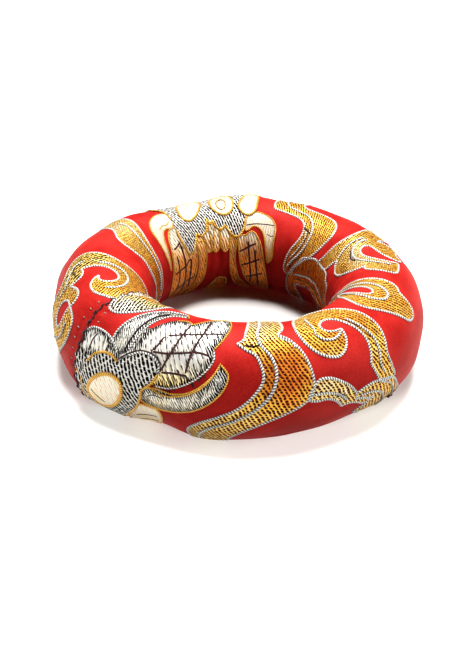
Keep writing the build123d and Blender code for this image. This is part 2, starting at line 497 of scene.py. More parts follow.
def centre_arm():
    """Two-lobed arm that leaves the centre leaf to the right."""
    motif_shape("gold", [
        (244.6, 3.2), (245.8, 6.6), (247.5, 8.4), (250, 8.2), (252.8, 6.4), (255.4, 3.9),
        (257.4, 0.7), (257.4, 0.7), (257.6, -1.5), (260, -2.6), (263.5, -4.2), (261, -5.4),
        (258, -3.4), (255.6, -2.5), (253.8, -2.9), (253.8, -2.9), (251.8, 0.1), (249.4, 1.8),
        (246.4, 2.1),
    ], dye=gold_tone_and_painted_light((248, 5, 12, 10, 0.2)))
    line("white_cord", [(245.6, 4.4), (249, 4), (252.2, 2.4), (255, -0.8)], 0.85, 1)
    line("dark_line", [(251.5, 1.6), (253, 2), (254.2, 1.2)], 0.4, 1)


def right_fan():
    """Fan at the lower right, running under the cushion."""
    motif_shape("gold", [
        (257.6, 0.4), (259.4, 1.6), (262, 2.2), (264.8, 1.8), (268, 0.9), (270, -0.6),
        (272.4, -4), (275, -8), (278, -13), (279.5, -19), (276.5, -24), (271, -25.5),
        (266.5, -23), (264.5, -18), (262.5, -13.5), (259.8, -11), (260.2, -8.2), (262, -6.4),
        (262.2, -4.4), (260, -2.4), (257.8, -1.4),
    ], dye=gold_tone_and_painted_light((268, -4, 10, 9, -0.05)))
    line("white_cord", [
        (258.4, -0.6), (262, -0.9), (265.4, -3), (267.8, -6.4), (269.8, -11), (270.6, -16),
    ], 0.85, 1)
    line("white_cord", [(264.4, 1.4), (268.4, -1.4), (271.6, -6), (274.4, -12)], 0.6, 1)


def right_scroll():
    """Curled scroll with a tail that comes down to the fan."""
    motif_shape("gold", [
        (264.6, 1.6), (263.4, 4.4), (262.1, 8), (262.1, 8), (263, 11.5), (263.3, 15.5),
        (262.4, 19.6), (260.6, 23.2), (258.6, 26.2), (256.6, 27.6), (254.6, 27.6),
        (253, 26.4), (252.5, 24.4), (253.4, 22.8), (255.2, 22), (257.9, 21.9), (257.9, 21.9),
        (257.5, 18.4), (256, 15.4), (253.6, 13.7), (251, 14.2), (248.4, 16), (246.4, 18.8),
        (245.2, 22.4), (245, 26.4), (246, 30.6), (248.4, 34.6), (253, 36.6), (258.4, 35.6),
        (262.4, 32.8), (265, 29.2), (267.2, 25.4), (268.6, 21.6), (269.2, 17.4), (268.8, 13),
        (268, 9), (268.8, 4.4), (269.9, 0.4), (267, 0.6),
    ], dye=gold_tone_and_painted_light((258, 24, 5.5, 5, -0.36), (250, 33, 8, 6, 0.15)))
    line("white_cord", [
        (261.2, 25), (263.8, 20), (265.6, 15), (265.6, 10.6), (265, 6.6), (266.2, 3.4),
    ], 0.9, 1)
    line("white_cord", [
        (249.6, 22), (251, 20), (253.2, 19.2), (255.6, 19.8), (257.2, 21.2),
    ], 0.9, 1)
    line("white_cord", [(250.4, 31.5), (250, 28), (250.2, 24.6), (249.6, 22)], 0.7, 1)


def loop_leaf():
    """Leaf that folds back on itself at the right, its thin tip running into the hole."""
    motif_shape("gold", [
        (287.6, 44.6), (287.6, 44.6), (284.4, 43), (279.6, 40.8), (275.2, 37.2),
        (272, 33), (270.7, 28.6), (271.6, 25), (274, 22), (277, 18), (279.4, 14.6),
        (281.4, 12.2), (283.5, 11.5), (285.3, 12.6), (286, 15.8), (286.2, 19),
        (286.6, 20.6), (286.6, 20.6), (288.6, 21.9), (289.9, 25.4), (290.6, 30), (291.6, 35),
        (293.4, 40.4), (295.6, 45), (299.2, 49.6), (303.6, 53.4), (308.6, 57), (308.6, 57),
        (303, 55.6), (296.8, 52.2), (291.6, 48.6), (288.8, 45), (287.2, 40.4), (285.8, 35.6),
        (284.2, 31.8), (282.4, 29), (280.4, 28), (278.9, 29), (278.4, 31.6), (279.2, 35),
        (281.6, 38.6), (285, 42),
    ], dye=gold_tone_and_painted_light((276, 27, 5, 8, -0.08)))
    line("white_cord", [
        (276.6, 33), (276.6, 28.6), (277.6, 25.2), (279.8, 23), (282.2, 23.2), (284.4, 25.6),
        (286.2, 29.4), (287.6, 34), (289, 39), (291.4, 44.4),
    ], 0.95, 1)
    line("white_cord", [(276.6, 33), (278.6, 37), (282, 40.6)], 0.7, 1)


def top_scroll():
    """Broad arched scroll at the right of the crown, joined to a tall band."""
    motif_shape("gold", [
        (306, 21.2), (303.6, 21.4), (300.6, 22), (298, 23), (296.8, 25.6), (297.2, 29.4),
        (298.6, 32.6), (300.6, 34.2), (302.8, 34.4), (302.8, 34.4), (303, 37.2), (304.6, 40.6),
        (306.8, 43.2), (309.8, 45), (314, 45.8), (317.6, 44.6), (320.4, 42.2), (320.4, 42.2),
        (321.6, 44.4), (323.4, 46.8), (325.6, 48.4), (332.4, 47.8), (332.4, 47.8),
        (329.6, 43.4), (328, 38.4), (327.4, 33), (328.2, 28), (330.2, 22), (331.6, 17),
        (333.6, 11), (333, 6.4), (329.4, 5.6), (326.6, 9), (324.6, 14), (323, 18.4),
        (321.6, 22.2), (320.4, 24.4), (320.4, 24.4), (319.4, 21.4), (318, 18.6), (316.2, 17.7),
        (313.8, 18.9), (312, 19.6), (310.4, 18.8), (308.8, 19), (308, 20.8), (309, 23.6),
        (311, 26.2), (314, 27.8), (317.2, 29), (318.2, 30.6), (317.4, 32.6), (315, 33.7),
        (311.6, 33.3), (308.6, 31), (306.6, 27.6), (305.8, 24.4),
    ], dye=gold_tone_and_painted_light((312, 36, 12, 7, 0.3)))
    line("white_cord", [
        (303.4, 24), (304.2, 28.4), (306.6, 33), (310.4, 36), (315, 36.8), (319, 35.4),
        (321.4, 32), (321.8, 27.6),
    ], 0.95, 1)
    line("dark_line", [(309.8, 36.9), (313.6, 38), (317, 37.2), (319.6, 35.8)], 0.45, 1)
    line("white_cord", [(320.4, 42.2), (322.2, 38), (323.4, 33), (323.8, 28)], 0.7, 1)
    for k in range(5):
        x = 306.4 + 2.1 * k
        y = 40.6 + 0.7 * k * (4 - k) / 2.2
        line("gold_cord", [(x, y + 1.8), (x + 0.3, y), (x + 1.1, y - 2.4)], 0.5, 1)


def wall_leaf():
    """Broad leaf on the far wall of the hole, with an open eye in it."""
    motif_shape("gold", [
        (10.2, 57), (10.9, 53), (14, 50.4), (19.6, 48.4), (25, 48), (30, 47.2), (34.4, 48),
        (38.6, 48.8), (42, 51.6), (45.4, 55), (47.6, 58), (49, 62), (49.2, 67), (48, 72.4),
        (45.6, 76), (43.4, 72.6), (42, 68), (42.4, 63.6), (42.6, 61), (38.6, 60.4), (33, 60.4),
        (29, 61.2), (26.8, 63.6), (27.4, 66.6), (30.4, 70), (33.4, 73.6), (30, 74.6), (24, 71),
        (18, 66.6), (13, 62),
    ])
    line("white_cord", [
        (16, 60.6), (19.4, 57.6), (24.4, 55.8), (31, 55.2), (38, 55.6), (43.6, 56.4),
    ], 0.9, 1)
    line("gold_cord", [(21, 63.4), (24, 60), (28.4, 58.2), (35, 57.9), (42.6, 58.6)], 0.7, 1)


def back_leaf():
    """Leaf at the back right that turns over the crown and down the outside."""
    motif_shape("gold", [
        (50, 56.2), (49.8, 51.6), (48, 47.6), (45.4, 43.4), (44.8, 40), (46.4, 36.6),
        (50, 34.2), (55, 33.2), (59.6, 32.7), (62.6, 32.1), (62.6, 32.1), (63.4, 28.6),
        (63.2, 23), (62, 16), (59.5, 10), (55.4, 8.6), (52.6, 12), (51.6, 17), (52.2, 22),
        (52.4, 25.4), (50.6, 27), (46, 27.9), (40, 28.5), (35, 30), (31.4, 33), (29.5, 37),
        (30, 41.2), (32, 45), (35.2, 48), (39.4, 50.6), (43.4, 53.8), (46.4, 56.8),
    ])
    line("white_cord", [
        (48.4, 54.4), (45, 51), (41.6, 47.6), (39.6, 43), (40.4, 38.6), (43.4, 34.6),
        (47.6, 31.8), (53, 30.4), (57.6, 28.6), (59.2, 24), (58.8, 18), (57, 13),
    ], 0.95, 1)
    line("dark_line", [(40.4, 39.4), (43, 38.8), (45.8, 37.8)], 0.45, 1)
    line("white_cord", [(46.8, 50.6), (43.6, 46.4), (42.2, 42.4), (43, 39)], 0.65, 1)


def side_leaf():
    """Slim leaf at the back left."""
    motif_shape("gold", [
        (131.2, 62), (130.8, 56), (130.8, 50), (131.6, 44), (131, 39.4), (128.6, 34),
        (126.4, 29), (125.6, 24), (126.4, 18), (128.6, 13.4), (131.4, 16), (133, 20.6),
        (134.8, 24.6), (137, 27.4), (140.4, 30.2), (143.2, 34), (144.2, 38.4), (143.6, 43),
        (143, 48), (141.4, 52.6), (139, 57), (136, 61.6), (133, 65),
    ], dye=gold_tone_and_painted_light((133, 26, 9, 9, 0.3)))
    line("white_cord", [
        (134.2, 58), (134, 52), (134.4, 46), (134.6, 40), (133.2, 34.6), (131, 29.6), (129.8, 24),
    ], 0.85, 1)


def left_scroll():
    """Large scroll at the left, cut by the join in the strip."""
    outline = [
        (186.3, 26), (184.4, 24.6), (181.6, 22.9), (178.2, 21.6), (175, 21.9), (172.6, 23.6),
        (171, 26), (171, 26), (173.6, 25.6), (175.2, 26.8), (175.8, 29.4), (174.2, 32),
        (171.2, 33), (167.6, 31.8), (165.2, 29), (163.8, 25), (163.7, 21), (163.7, 21),
        (165.6, 21.2), (167.6, 20.4), (168.6, 18), (168.6, 15.4), (168.6, 15.4), (170.4, 16.6),
        (173, 17.4), (175.4, 16.6), (176.3, 14.6), (175.9, 12.6), (173.6, 12.8), (171.8, 11.8),
        (171, 9), (171.8, 5.6), (173.6, 3.8), (175.1, 5.2), (175.6, 8.2), (175.9, 12.2),
        (178.4, 11.7), (180.6, 10.2), (181.1, 7), (180.1, 3), (177.6, -1), (174, -5.4),
        (169.6, -8.6), (165.6, -7.6), (163.8, -3), (163.4, 3), (164.6, 8), (164.4, 11.2),
        (161.4, 14.2), (157.6, 15.9), (155.1, 18.2), (154.4, 21.6), (155.4, 26), (157.2, 31),
        (159, 36), (159.4, 41), (159.4, 47), (161.6, 52), (168, 56), (177, 58), (186.3, 57),
    ]
    motif_shape("gold", outline, dye=gold_tone_and_painted_light((160, 20, 9, 12, 0.3), (176, 45, 10, 8, -0.12)))
    patch("far_cloud", [
        *outline[16:21], (168.4, 15.4), (166.6, 12), (165.2, 6), (165.4, 0), (167, -5),
        (165.4, -7), *outline[44:53], (157.6, 31), (161.6, 30), (163, 25),
    ], 0.3, dye=fading((0, 0.10), (26, 0.18)))
    line("white_cord", [
        (162.2, 27), (163.6, 31.6), (167, 35.6), (171.4, 36.6), (175.6, 35), (179.4, 31.8),
        (180.2, 28.4), (178.8, 25.4),
    ], 1, 1)
    line("dark_line", [(161, 18.9), (163.4, 17.9), (165.8, 18.4)], 0.45, 1)
    line("white_cord", [(159.6, 22), (160.6, 18.4), (164, 16), (167.4, 13.4), (168.2, 9)], 0.7, 1)
    line("white_cord", [(178.2, 8.6), (177.6, 4), (174.6, 0.4), (170.4, -2)], 0.7, 1)


def join_leaf():
    """Silver-tipped leaf end at the right of the join."""
    motif_shape("gold", [
        (187.3, 30), (187.6, 24), (189, 21), (191.6, 20.8), (194.6, 22.8), (197.6, 26),
        (200.2, 30), (201.4, 34), (200.6, 38.6), (197, 43), (192, 48), (187.3, 52),
    ])
    patch("cloud", [
        (187.6, 24.4), (189.2, 21.6), (191.6, 21.2), (194.6, 23.2), (197.4, 26.4), (199.8, 30.4),
        (200.8, 34), (199.8, 38), (196.6, 36), (192.8, 33.4), (189.4, 31.4), (187.5, 30.8),
    ], 0.4, dye=fading((22, 0.8), (36, 0.2)))


def lotus_front():
    """Open lotus at the front left: cloud, boss, latticed petals and crescents."""
    # slim silver leaf at the upper left
    leaf = [
        (195.6, 10.6), (195.9, 15.4), (197.2, 21), (199.6, 26), (203, 30), (206.6, 32.2),
        (210.2, 33), (211.6, 31.4), (207.8, 29.6), (205, 26.4), (203.1, 22.4), (202.2, 17.6),
        (201.8, 12.4), (198.6, 9.6),
    ]
    patch("silver", leaf, dye=WHITENED)
    line("white_cord", [(196.2, 11.4), *leaf[1:7], (211.8, 31.8)], 0.75)
    line("white_cord", [(211.6, 31.2), *leaf[8:12], (201.6, 12.6)], 0.65)
    line("gold_cord", [(210.6, 33.2), (211.6, 32), (212.4, 30.2)], 0.6, 1)
    line("dark_line", [(200.6, 11), (200.8, 16), (201.4, 21), (203.2, 26), (206.2, 29.6)], 0.5, 1)
    # latticed petal
    petal = [
        (203, 10), (202.9, 14.6), (203.7, 19.4), (206.2, 24), (209.7, 27.3), (213, 28.4),
        (215, 27), (215, 27), (217.2, 29.2), (220.6, 32), (224, 33), (225.7, 31.2),
        (226.2, 27), (224.8, 22.4), (222.6, 18.4), (222.9, 15.4), (221.2, 11.4), (217.6, 7.4),
        (213.6, 5), (210, 4.6), (206, 6),
    ]
    patch("petal", petal, dye=fading((5, 0.48), (15, 0.97)))
    line("gold_cord", petal[4:15], 0.6)
    line("white_cord", [(222.6, 18.2), *petal[15:20]], 0.6)
    fringe([(203.2, 14.6), (204, 19.2), (206.4, 23.6), (209.7, 26.8)], 1.3, 0.6)
    fringe([(211, 5.6), (214, 6.2), (217.4, 8.6), (220.4, 12)], 2.6, 0.6)
    for rib in (
        [(209.8, 20.2), (213, 21.4), (217, 22.6), (221, 23.6), (224.6, 24)],
        [(207.6, 14.2), (211.6, 14.8), (215.6, 16), (219, 16.8), (222, 16.2)],
        [(211, 9), (214, 9.6), (217.2, 9.6)],
        [(214.6, 26.8), (213.8, 22), (212.8, 17), (211.6, 12), (210.8, 9)],
        [(220, 30.6), (219.4, 25), (218.2, 20), (217.2, 14.4), (216.8, 10)],
        [(209.2, 20), (208.6, 17), (207.4, 14.2)],
        [(213.2, 26.6), (212.2, 27.8), (210.4, 27)],
    ):
        line("lattice", rib, 0.78, 0, rise=0.12)
        fringe(rib, 1.5)
    # side petal at the join
    patch("petal", [
        (187, 5), (187, 10.2), (188.2, 12.6), (191, 13.8), (194.6, 13.6), (197.2, 12),
        (199.8, 9.4), (197, 7.4), (192, 5.6),
    ], dye=WHITENED)
    line("white_cord", [
        (187.2, 11.2), (188.8, 13.2), (191.4, 14), (194.6, 13.6), (197.2, 12), (199.2, 9.8),
    ], 0.75)
    line("lattice", [(191.2, 12.8), (190.5, 10), (190.5, 6.6)], 0.6, 0, rise=0.12)
    line("lattice", [(195.9, 13), (195.4, 10), (195.6, 8)], 0.5, 0, rise=0.12)
    stroke([(187.8, 6.2), (189.8, 5.6), (190.6, 5.2)], 0.4)
    # crescents at the lower right
    motif_shape("silver", [
        (207.2, 2.6), (210.4, 3.9), (214, 3.4), (217.6, 4.6), (221, 7.6), (223.4, 11.2),
        (224.6, 14.2), (224.6, 14.2), (226.5, 11.2), (225.7, 7), (222.8, 2.6), (219, -0.8),
        (214.2, -2.7), (209.6, -2.8), (206.6, -1.2),
    ], "gold_cord", 0.6, dye=fading((-3, 0.72), (8, 0.92)))
    line("gold_cord", [(208.4, 4.2), (212.4, 2.5), (217, 3.8), (220.8, 6.8), (223.2, 10.4)], 0.5, 1)
    stroke([(208, 0.4), (209.6, 1.6), (212.4, 1.2)], 0.4)
    # the white ground that the petals share
    patch("petal", [
        (187, 2), (187, 9), (192, 9), (198.6, 11), (201.6, 16), (202.8, 21.4), (203.8, 21.4),
        (204, 12), (207, 8), (208, 3), (204, 0),
    ], -0.3, WHITENED)
    # cloud with scalloped gold edge
    cloud = [
        (187, 5.8), (189.8, 5.2), (191.2, 3.6), (191.2, 3.6), (192.4, 6.4), (194.9, 8.5),
        (197.6, 8.9), (199.8, 7.8), (199.8, 7.8), (202, 10.6), (205, 12.9), (208.2, 12.8),
        (210.2, 11), (210.5, 8.4), (209.2, 5.2), (207, 2.4), (207, 2.4), (206.6, -1),
        (205.6, -4.4), (203.4, -8), (200.6, -12), (197, -17), (192, -19), (188, -16),
        (187, -8), (187, 0),
    ]
    patch("cloud", cloud, 1, WHITENED)
    line("gold_cord", cloud[2:9], 0.85, 1)
    line("white_cord", cloud[9:14], 0.75, 1)
    line("dark_line", [(199.6, 8.4), (201.8, 11.2), (205, 13.5), (208.6, 13.3), (211, 11)], 0.4, 1)
    line("gold_cord", cloud[13:18], 0.8, 1)
    line("gold_cord", [(206.8, 2.4), (206.4, -1), (205, -5), (202.6, -9), (199.6, -13)], 0.75, 1)
    line("gold_cord", [
        (187.2, -0.4), (188.8, -1.4), (189.6, -4), (188.8, -8), (187.4, -12),
    ], 0.7, 1)
    # boss
    motif_shape("boss", [
        (191.6, -5.6), (192.8, -1.6), (195.4, 1.8), (198.8, 3.5), (201.2, 2.6), (201.7, -1),
        (200.2, -5), (197.4, -8.2), (193.8, -9.2),
    ], "gold_cord", 1.25, 2, fading((-9, 0.62), (4, 0.86)))
    stroke([(192.8, -3.6), (194.6, -5.4), (196.6, -6.8)], 0.4, 2)
    # petals below
    motif_shape("boss", [
        (205.6, -3.4), (208, -3.2), (210.4, -3.6), (211.2, -6), (210.4, -11), (208.6, -16),
        (205, -20), (200.6, -19), (200.6, -13), (203.4, -8),
    ], "gold_cord", 0.7, dye=fading((-20, 0.5), (-6, 0.8)))
    stroke([(210, -7.8), (206.6, -8.8), (203.6, -10.4)], 0.6)
    stroke([(209.2, -13.4), (206, -13.6), (203, -14.6)], 0.5)


def lotus_back():
    """The same flower at the back, seen from its other side."""
    # the fadings of these crescents and latticed, slim and scalloped petals darken each weave down
    # into the hole: painted shade
    # crescents at both sides
    motif_shape("boss", [
        (58.6, 53), (58.9, 47), (59.2, 42), (61, 38.6), (65, 36.4), (70, 35.4), (74, 37),
        (76, 40.4), (74.6, 43.4), (70.4, 41.5), (66.6, 42.6), (63.8, 46.4), (62.2, 51),
        (60.6, 54.6),
    ], "gold_cord", 0.6, dye=fading((40, 0.9), (54, 0.4)))
    stroke([(60.2, 40.1), (65, 40.2), (70, 40.6), (74.6, 41.4)], 0.5)
    stroke([(59.4, 44.2), (61.4, 44.4), (63.4, 43.8)], 0.4)
    motif_shape("boss", [
        (122.3, 53.6), (124.2, 48.4), (124.6, 42.4), (124, 37), (121.2, 33), (117.2, 30.6),
        (112.8, 29.6), (110.4, 31), (110.6, 36), (112.6, 38.6), (116, 38.2), (118.8, 39.4),
        (120.8, 43), (121.4, 48),
    ], "gold_cord", 0.6, dye=fading((40, 0.9), (54, 0.4)))
    line("gold_cord", [(112, 35.2), (114.6, 36.6), (117, 36.4), (119.6, 37.6)], 0.5, 0)
    # latticed petals
    for outline in (
        [(78.4, 45), (75.2, 45.2), (71, 43.6), (67.4, 46), (64.2, 51), (62.2, 56.4), (61.2, 62),
         (61.4, 67), (63.4, 70.4), (67, 70), (71, 67), (74.2, 62.4), (76.6, 56.6), (78.2, 50.4)],
        [(102.6, 46), (102.8, 52), (103.2, 58), (105, 63.4), (108.2, 67.8), (112.4, 70.6),
         (117.2, 70), (120.2, 66), (121.2, 60), (120.4, 53), (119.2, 46.6), (117, 41),
         (113.4, 38.6), (109, 40)],
    ):
        motif_shape("hole_shaded_petal", outline, "gold_cord", 0.6, dye=fading((41, 0.88), (57, 0.20)))
    for rib in (
        [(63.2, 59.4), (67, 60.6), (71, 61.8), (74, 62)],
        [(65, 53.6), (69, 54.8), (73, 56), (76.4, 57)],
        [(68, 47.8), (71.6, 49), (75.4, 50.6), (78, 51.4)],
        [(66.6, 69), (66.8, 63), (67.4, 57), (68.8, 50)],
        [(71.2, 66), (70.8, 60), (71.6, 54), (73, 47)],
        [(104.4, 60), (109, 61.4), (114, 62.8), (119.6, 64.6)],
        [(107, 51.8), (111, 54), (115.4, 55.2), (120, 55.6)],
        [(112, 44.6), (114.6, 46.2), (117.6, 46.8)],
        [(112, 69.6), (111.6, 63), (111.4, 57), (111.8, 50), (112.6, 44)],
        [(117.2, 68.6), (116.4, 62), (116, 56), (116.4, 49)],
        [(107.2, 65.6), (107.4, 59), (107.2, 52)],
    ):
        line("lattice", rib, 0.85, 0, rise=0.1)
    # slim leaves inside the petals
    motif_shape("hole_shaded_petal", [
        (71.8, 70), (74.8, 71.6), (78, 69.6), (81, 64), (82.9, 58), (83.2, 51), (82, 46),
        (79.8, 47), (80.2, 53), (79, 59), (76.4, 64.6), (73.6, 68),
    ], "gold_cord", 0.6, dye=PAINTED_HOLE_SHADE)
    motif_shape("hole_shaded_petal", [
        (96.6, 47), (97, 53), (98, 60), (100.4, 66), (104, 71.6), (107, 73), (106, 68.6),
        (103.2, 64), (101.8, 58), (101.6, 52), (102.4, 47),
    ], "gold_cord", 0.6, dye=PAINTED_HOLE_SHADE)
    # scalloped petals of the heart
    for x0 in (83.4, 88.6, 92.2):
        motif_shape("hole_shaded_petal", [
            (x0, 40), (x0 - 0.3, 46), (x0 + 0.8, 50), (x0 + 2.8, 51.2), (x0 + 4.6, 50),
            (x0 + 5.4, 46), (x0 + 5, 40),
        ], "gold_cord", 0.6, dye=fading((42, 0.85), (50, 0.42)))
    patch("hole_shaded_petal", [
        (83.8, 38), (83.6, 47), (86, 48.2), (91, 46), (96, 48.2), (101.4, 47.4), (102.8, 44),
        (102.6, 38),
    ], -0.3, fading((40, 0.9), (48, 0.35)))
    # small hanging petal on the wall
    motif_shape("hole_shaded_petal", [
        (84.6, 74), (84.2, 68), (85.2, 63.4), (89, 63), (91.6, 64.4), (93.8, 68), (94.4, 73),
        (90, 77),
    ], "gold_cord", 0.7, dye=PAINTED_HOLE_SHADE)
    # cloud
    cloud = [
        (74.8, 36.6), (75.6, 42), (77.4, 45), (80.2, 45.7), (83, 44.2), (85.4, 41.3),
        (85.4, 41.3), (87.8, 42.8), (90.4, 41.6), (91.6, 39), (91.6, 39), (93, 40.4),
        (94.4, 38.2), (94.4, 38.2), (94.9, 41), (96.6, 43.7), (99.2, 44.5), (101.5, 43.4),
        (101.5, 43.4), (103, 46.6), (105.2, 49.7), (107.6, 50.2), (109.6, 47.8), (111.2, 44),
        (111.6, 40), (110.8, 35), (110.6, 29), (112, 22), (110, 14), (103, 8), (94, 5),
        (84, 6), (76, 10), (72.4, 17), (73, 26), (75, 31),
    ]
    patch("far_cloud", cloud, 1, WHITENED)
    line("gold_cord", cloud[:25], 0.95, 1)
    line("gold_cord", cloud[25:] + cloud[:1], 0.75, 1)
    # bosses
    for outline in (
        [(70.6, 31), (71, 35), (73.4, 37), (76.6, 36.2), (78.4, 33), (77.2, 28.4), (75.6, 24),
         (72.8, 21.6), (70.9, 25)],
        [(81.2, 33.6), (83.2, 36.4), (86.2, 36.8), (89.2, 35), (90.6, 31.4), (89.4, 26.4),
         (85.6, 24), (82, 26.4)],
        [(94.2, 29), (96.4, 33.4), (99.8, 36.6), (103, 37.6), (105.2, 36), (105.2, 31.6),
         (103.4, 26.4), (99, 22.4), (95, 23.6)],
    ):
        motif_shape("boss", outline, "gold_cord", 0.95, 2, WHITENED)
    line("gold_cord", [
        (84.2, 30.4), (84.6, 33.6), (86.4, 34.6), (88, 32.6), (87.4, 29.6), (85.6, 28.6),
    ], 0.5, 3, closed=True)
    # lower petals on the outside
    for outline in (
        [(71, 20), (69, 13), (67.4, 5), (70, -1), (75, -2.6), (79, 2), (80, 8), (76, 12)],
        [(82, 6.6), (81.6, -1), (84.4, -7), (90, -9.4), (95.4, -6.6), (97.4, 0), (96, 6)],
        [(100, 6.6), (103.6, 0), (108.6, -3), (113.4, -0.4), (114.6, 6), (113, 13), (111, 18),
         (106, 10)],
    ):
        motif_shape("petal", outline, "gold_cord", 0.7, dye=fading((-8, 0.5), (12, 0.95)))
        centre = np.mean(outline, axis=0)
        for slant in (-3, 0.5, 4):
            line("dark_line", [
                (centre[0] - 4, centre[1] + slant - 0.8), tuple(centre + (0, slant)),
                (centre[0] + 4, centre[1] + slant + 1),
            ], 0.42, 0, rise=0.1)


def draw_brocade():
    for motif in (
        centre_leaf, centre_arm, right_fan, right_scroll, loop_leaf, top_scroll, wall_leaf,
        back_leaf, side_leaf, left_scroll, join_leaf, lotus_front, lotus_back,
    ):
        motif()
    # the side the photograph does not show repeats the arm and the fan
    for offset, mirror in ((-222.0, 1), (396.0, -1)):
        placing.update(offset=offset, mirror=mirror)
        centre_arm()
        right_fan()


draw_brocade()


# ---------------------------------------------------------------- materials

TWILL_PITCH, WEFT_PITCH = 0.42, 0.36  # of the satin
PLY_PITCH = 0.5  # of a sewing thread's twist
ROW_LEAN = 0.45  # how far the rows of metallic thread lean from straight round the tube

DEEP_RED = (0.42, 0.023, 0.019, 1)
BRIGHT_RED = (0.60, 0.048, 0.040, 1)
TAWNY = (0.70, 0.19, 0.045, 1)
ORANGE = (0.82, 0.32, 0.05, 1)
GOLD = (0.86, 0.54, 0.10, 1)
PALE_GOLD = (0.88, 0.70, 0.29, 1)
SILVER = (0.84, 0.79, 0.66, 1)
WHITE = (0.84, 0.83, 0.80, 1)
CREAM = (0.84, 0.81, 0.68, 1)
RUST = (0.80, 0.24, 0.06, 1)
AMBER = (0.88, 0.38, 0.09, 1)
STRAW = (0.92, 0.60, 0.27, 1)
CORD_WHITE = (0.96, 0.95, 0.92, 1)
CORD_GOLD = (0.80, 0.50, 0.09, 1)
CORD_BROWN = (0.16, 0.04, 0.012, 1)
OXBLOOD = (0.13, 0.020, 0.014, 1)
MAROON = (0.085, 0.010, 0.010, 1)
PLUM_BLACK = (0.055, 0.018, 0.020, 1)
BROWN_BLACK = (0.012, 0.008, 0.008, 1)
BLACK = (0.008, 0.006, 0.008, 1)

# A weave's colours from shade 0 to shade 1
GOLDS = (TAWNY, ORANGE, GOLD, PALE_GOLD, SILVER)
WHITES = (TAWNY, ORANGE, PALE_GOLD, SILVER, WHITE)
GREYS = (GOLD, PALE_GOLD, SILVER, WHITE)
CREAMS = (TAWNY, ORANGE, PALE_GOLD, CREAM, CREAM)
# the petal's colours turned orange and darker for the hole's wall: painted shade and painted red
# bounce
PAINTED_SHADE_PETAL_TONES = (RUST, AMBER, STRAW, CREAM, CREAM)


class Signal:
    """A value that varies over a surface. Arithmetic on it adds Math nodes."""

    def __init__(self, shader, socket):
        self.shader, self.socket = shader, socket

    def __add__(self, other):
        return self.shader.math("ADD", self, other)

    def __sub__(self, other):
        return self.shader.math("SUBTRACT", self, other)

    def __mul__(self, other):
        return self.shader.math("MULTIPLY", self, other)

    def __truediv__(self, other):
        return self.shader.math("DIVIDE", self, other)


class Shader:
    """A material with short helpers for its nodes.

    x and y are the flat place in millimetres, edge the distance from the outline and tint
    how pale the weave is, from its own tone and from painted light and shade."""

    def __init__(self, name, roughness, metallic=0.0, sheen=0.0):
        self.material = bpy.data.materials.new(name)
        self.material.use_nodes = True
        self.tree = self.material.node_tree
        self.bsdf = self.tree.nodes["Principled BSDF"]
        self.bsdf.inputs["Roughness"].default_value = roughness
        self.bsdf.inputs["Metallic"].default_value = metallic
        self.bsdf.inputs["Sheen Weight"].default_value = sheen
        self.x, self.y = (place * STRIP for place in self.uv_set("flat"))
        edge, tint = self.uv_set("dye")
        self.edge, self.tint = edge * STRIP, tint * (STRIP / TONE_AND_PAINTED_LIGHT_SCALE)

    def uv_set(self, name):
        uv = self.tree.nodes.new("ShaderNodeUVMap")
        uv.uv_map = name
        split = self.tree.nodes.new("ShaderNodeSeparateXYZ")
        self.tree.links.new(uv.outputs[0], split.inputs[0])
        return Signal(self, split.outputs[0]), Signal(self, split.outputs[1])

    def put(self, socket, value):
        if isinstance(value, Signal):
            self.tree.links.new(value.socket, socket)
        else:
            socket.default_value = value

    def math(self, operation, *values):
        node = self.tree.nodes.new("ShaderNodeMath")
        node.operation = operation
        for socket, value in zip(node.inputs, values):
            self.put(socket, value)
        return Signal(self, node.outputs[0])

    def from_middle(self, turns):
        """Distance from the middle of each repeat, 0 to a half."""
        return self.math("ABSOLUTE", self.math("FRACT", turns) - 0.5)

    def ramp(self, value, low, high, to_low=0.0, to_high=1.0):
        node = self.tree.nodes.new("ShaderNodeMapRange")
        node.interpolation_type = "SMOOTHSTEP"
        for socket, v in zip(
            ("Value", "From Min", "From Max", "To Min", "To Max"),
            (value, low, high, to_low, to_high),
        ):
            self.put(node.inputs[socket], v)
        return Signal(self, node.outputs[0])

    def mix(self, factor, a, b):
        node = self.tree.nodes.new("ShaderNodeMix")
        node.data_type = "RGBA"
        for index, value in ((0, factor), (6, a), (7, b)):
            self.put(node.inputs[index], value)
        return Signal(self, node.outputs[2])

    def stops(self, value, colours):
        """A colour ramp through evenly spaced colours."""
        node = self.tree.nodes.new("ShaderNodeValToRGB")
        elements = node.color_ramp.elements
        while len(elements) < len(colours):
            elements.new(0.5)
        for k, colour in enumerate(colours):
            elements[k].position = k / (len(colours) - 1)
            elements[k].color = colour
        self.put(node.inputs[0], value)
        return Signal(self, node.outputs[0])

    def noise(self, scale, detail=2.0, stretch_x=1.0):
        combine = self.tree.nodes.new("ShaderNodeCombineXYZ")
        self.put(combine.inputs[0], self.x * stretch_x)
        self.put(combine.inputs[1], self.y)
        node = self.tree.nodes.new("ShaderNodeTexNoise")
        node.inputs["Scale"].default_value = scale
        node.inputs["Detail"].default_value = detail
        self.tree.links.new(combine.outputs[0], node.inputs["Vector"])
        return Signal(self, node.outputs[0])

    def finish(self, colour, height, depth, roughness=None):
        """Set the colour, a bump `depth` millimetres deep and maybe a varied roughness."""
        self.put(self.bsdf.inputs["Base Color"], colour)
        if roughness is not None:
            self.put(self.bsdf.inputs["Roughness"], roughness)
        bump = self.tree.nodes.new("ShaderNodeBump")
        bump.inputs["Strength"].default_value = 1.0
        bump.inputs["Distance"].default_value = depth * MM
        self.put(bump.inputs["Height"], height)
        self.tree.links.new(bump.outputs[0], self.bsdf.inputs["Normal"])
        return self.material


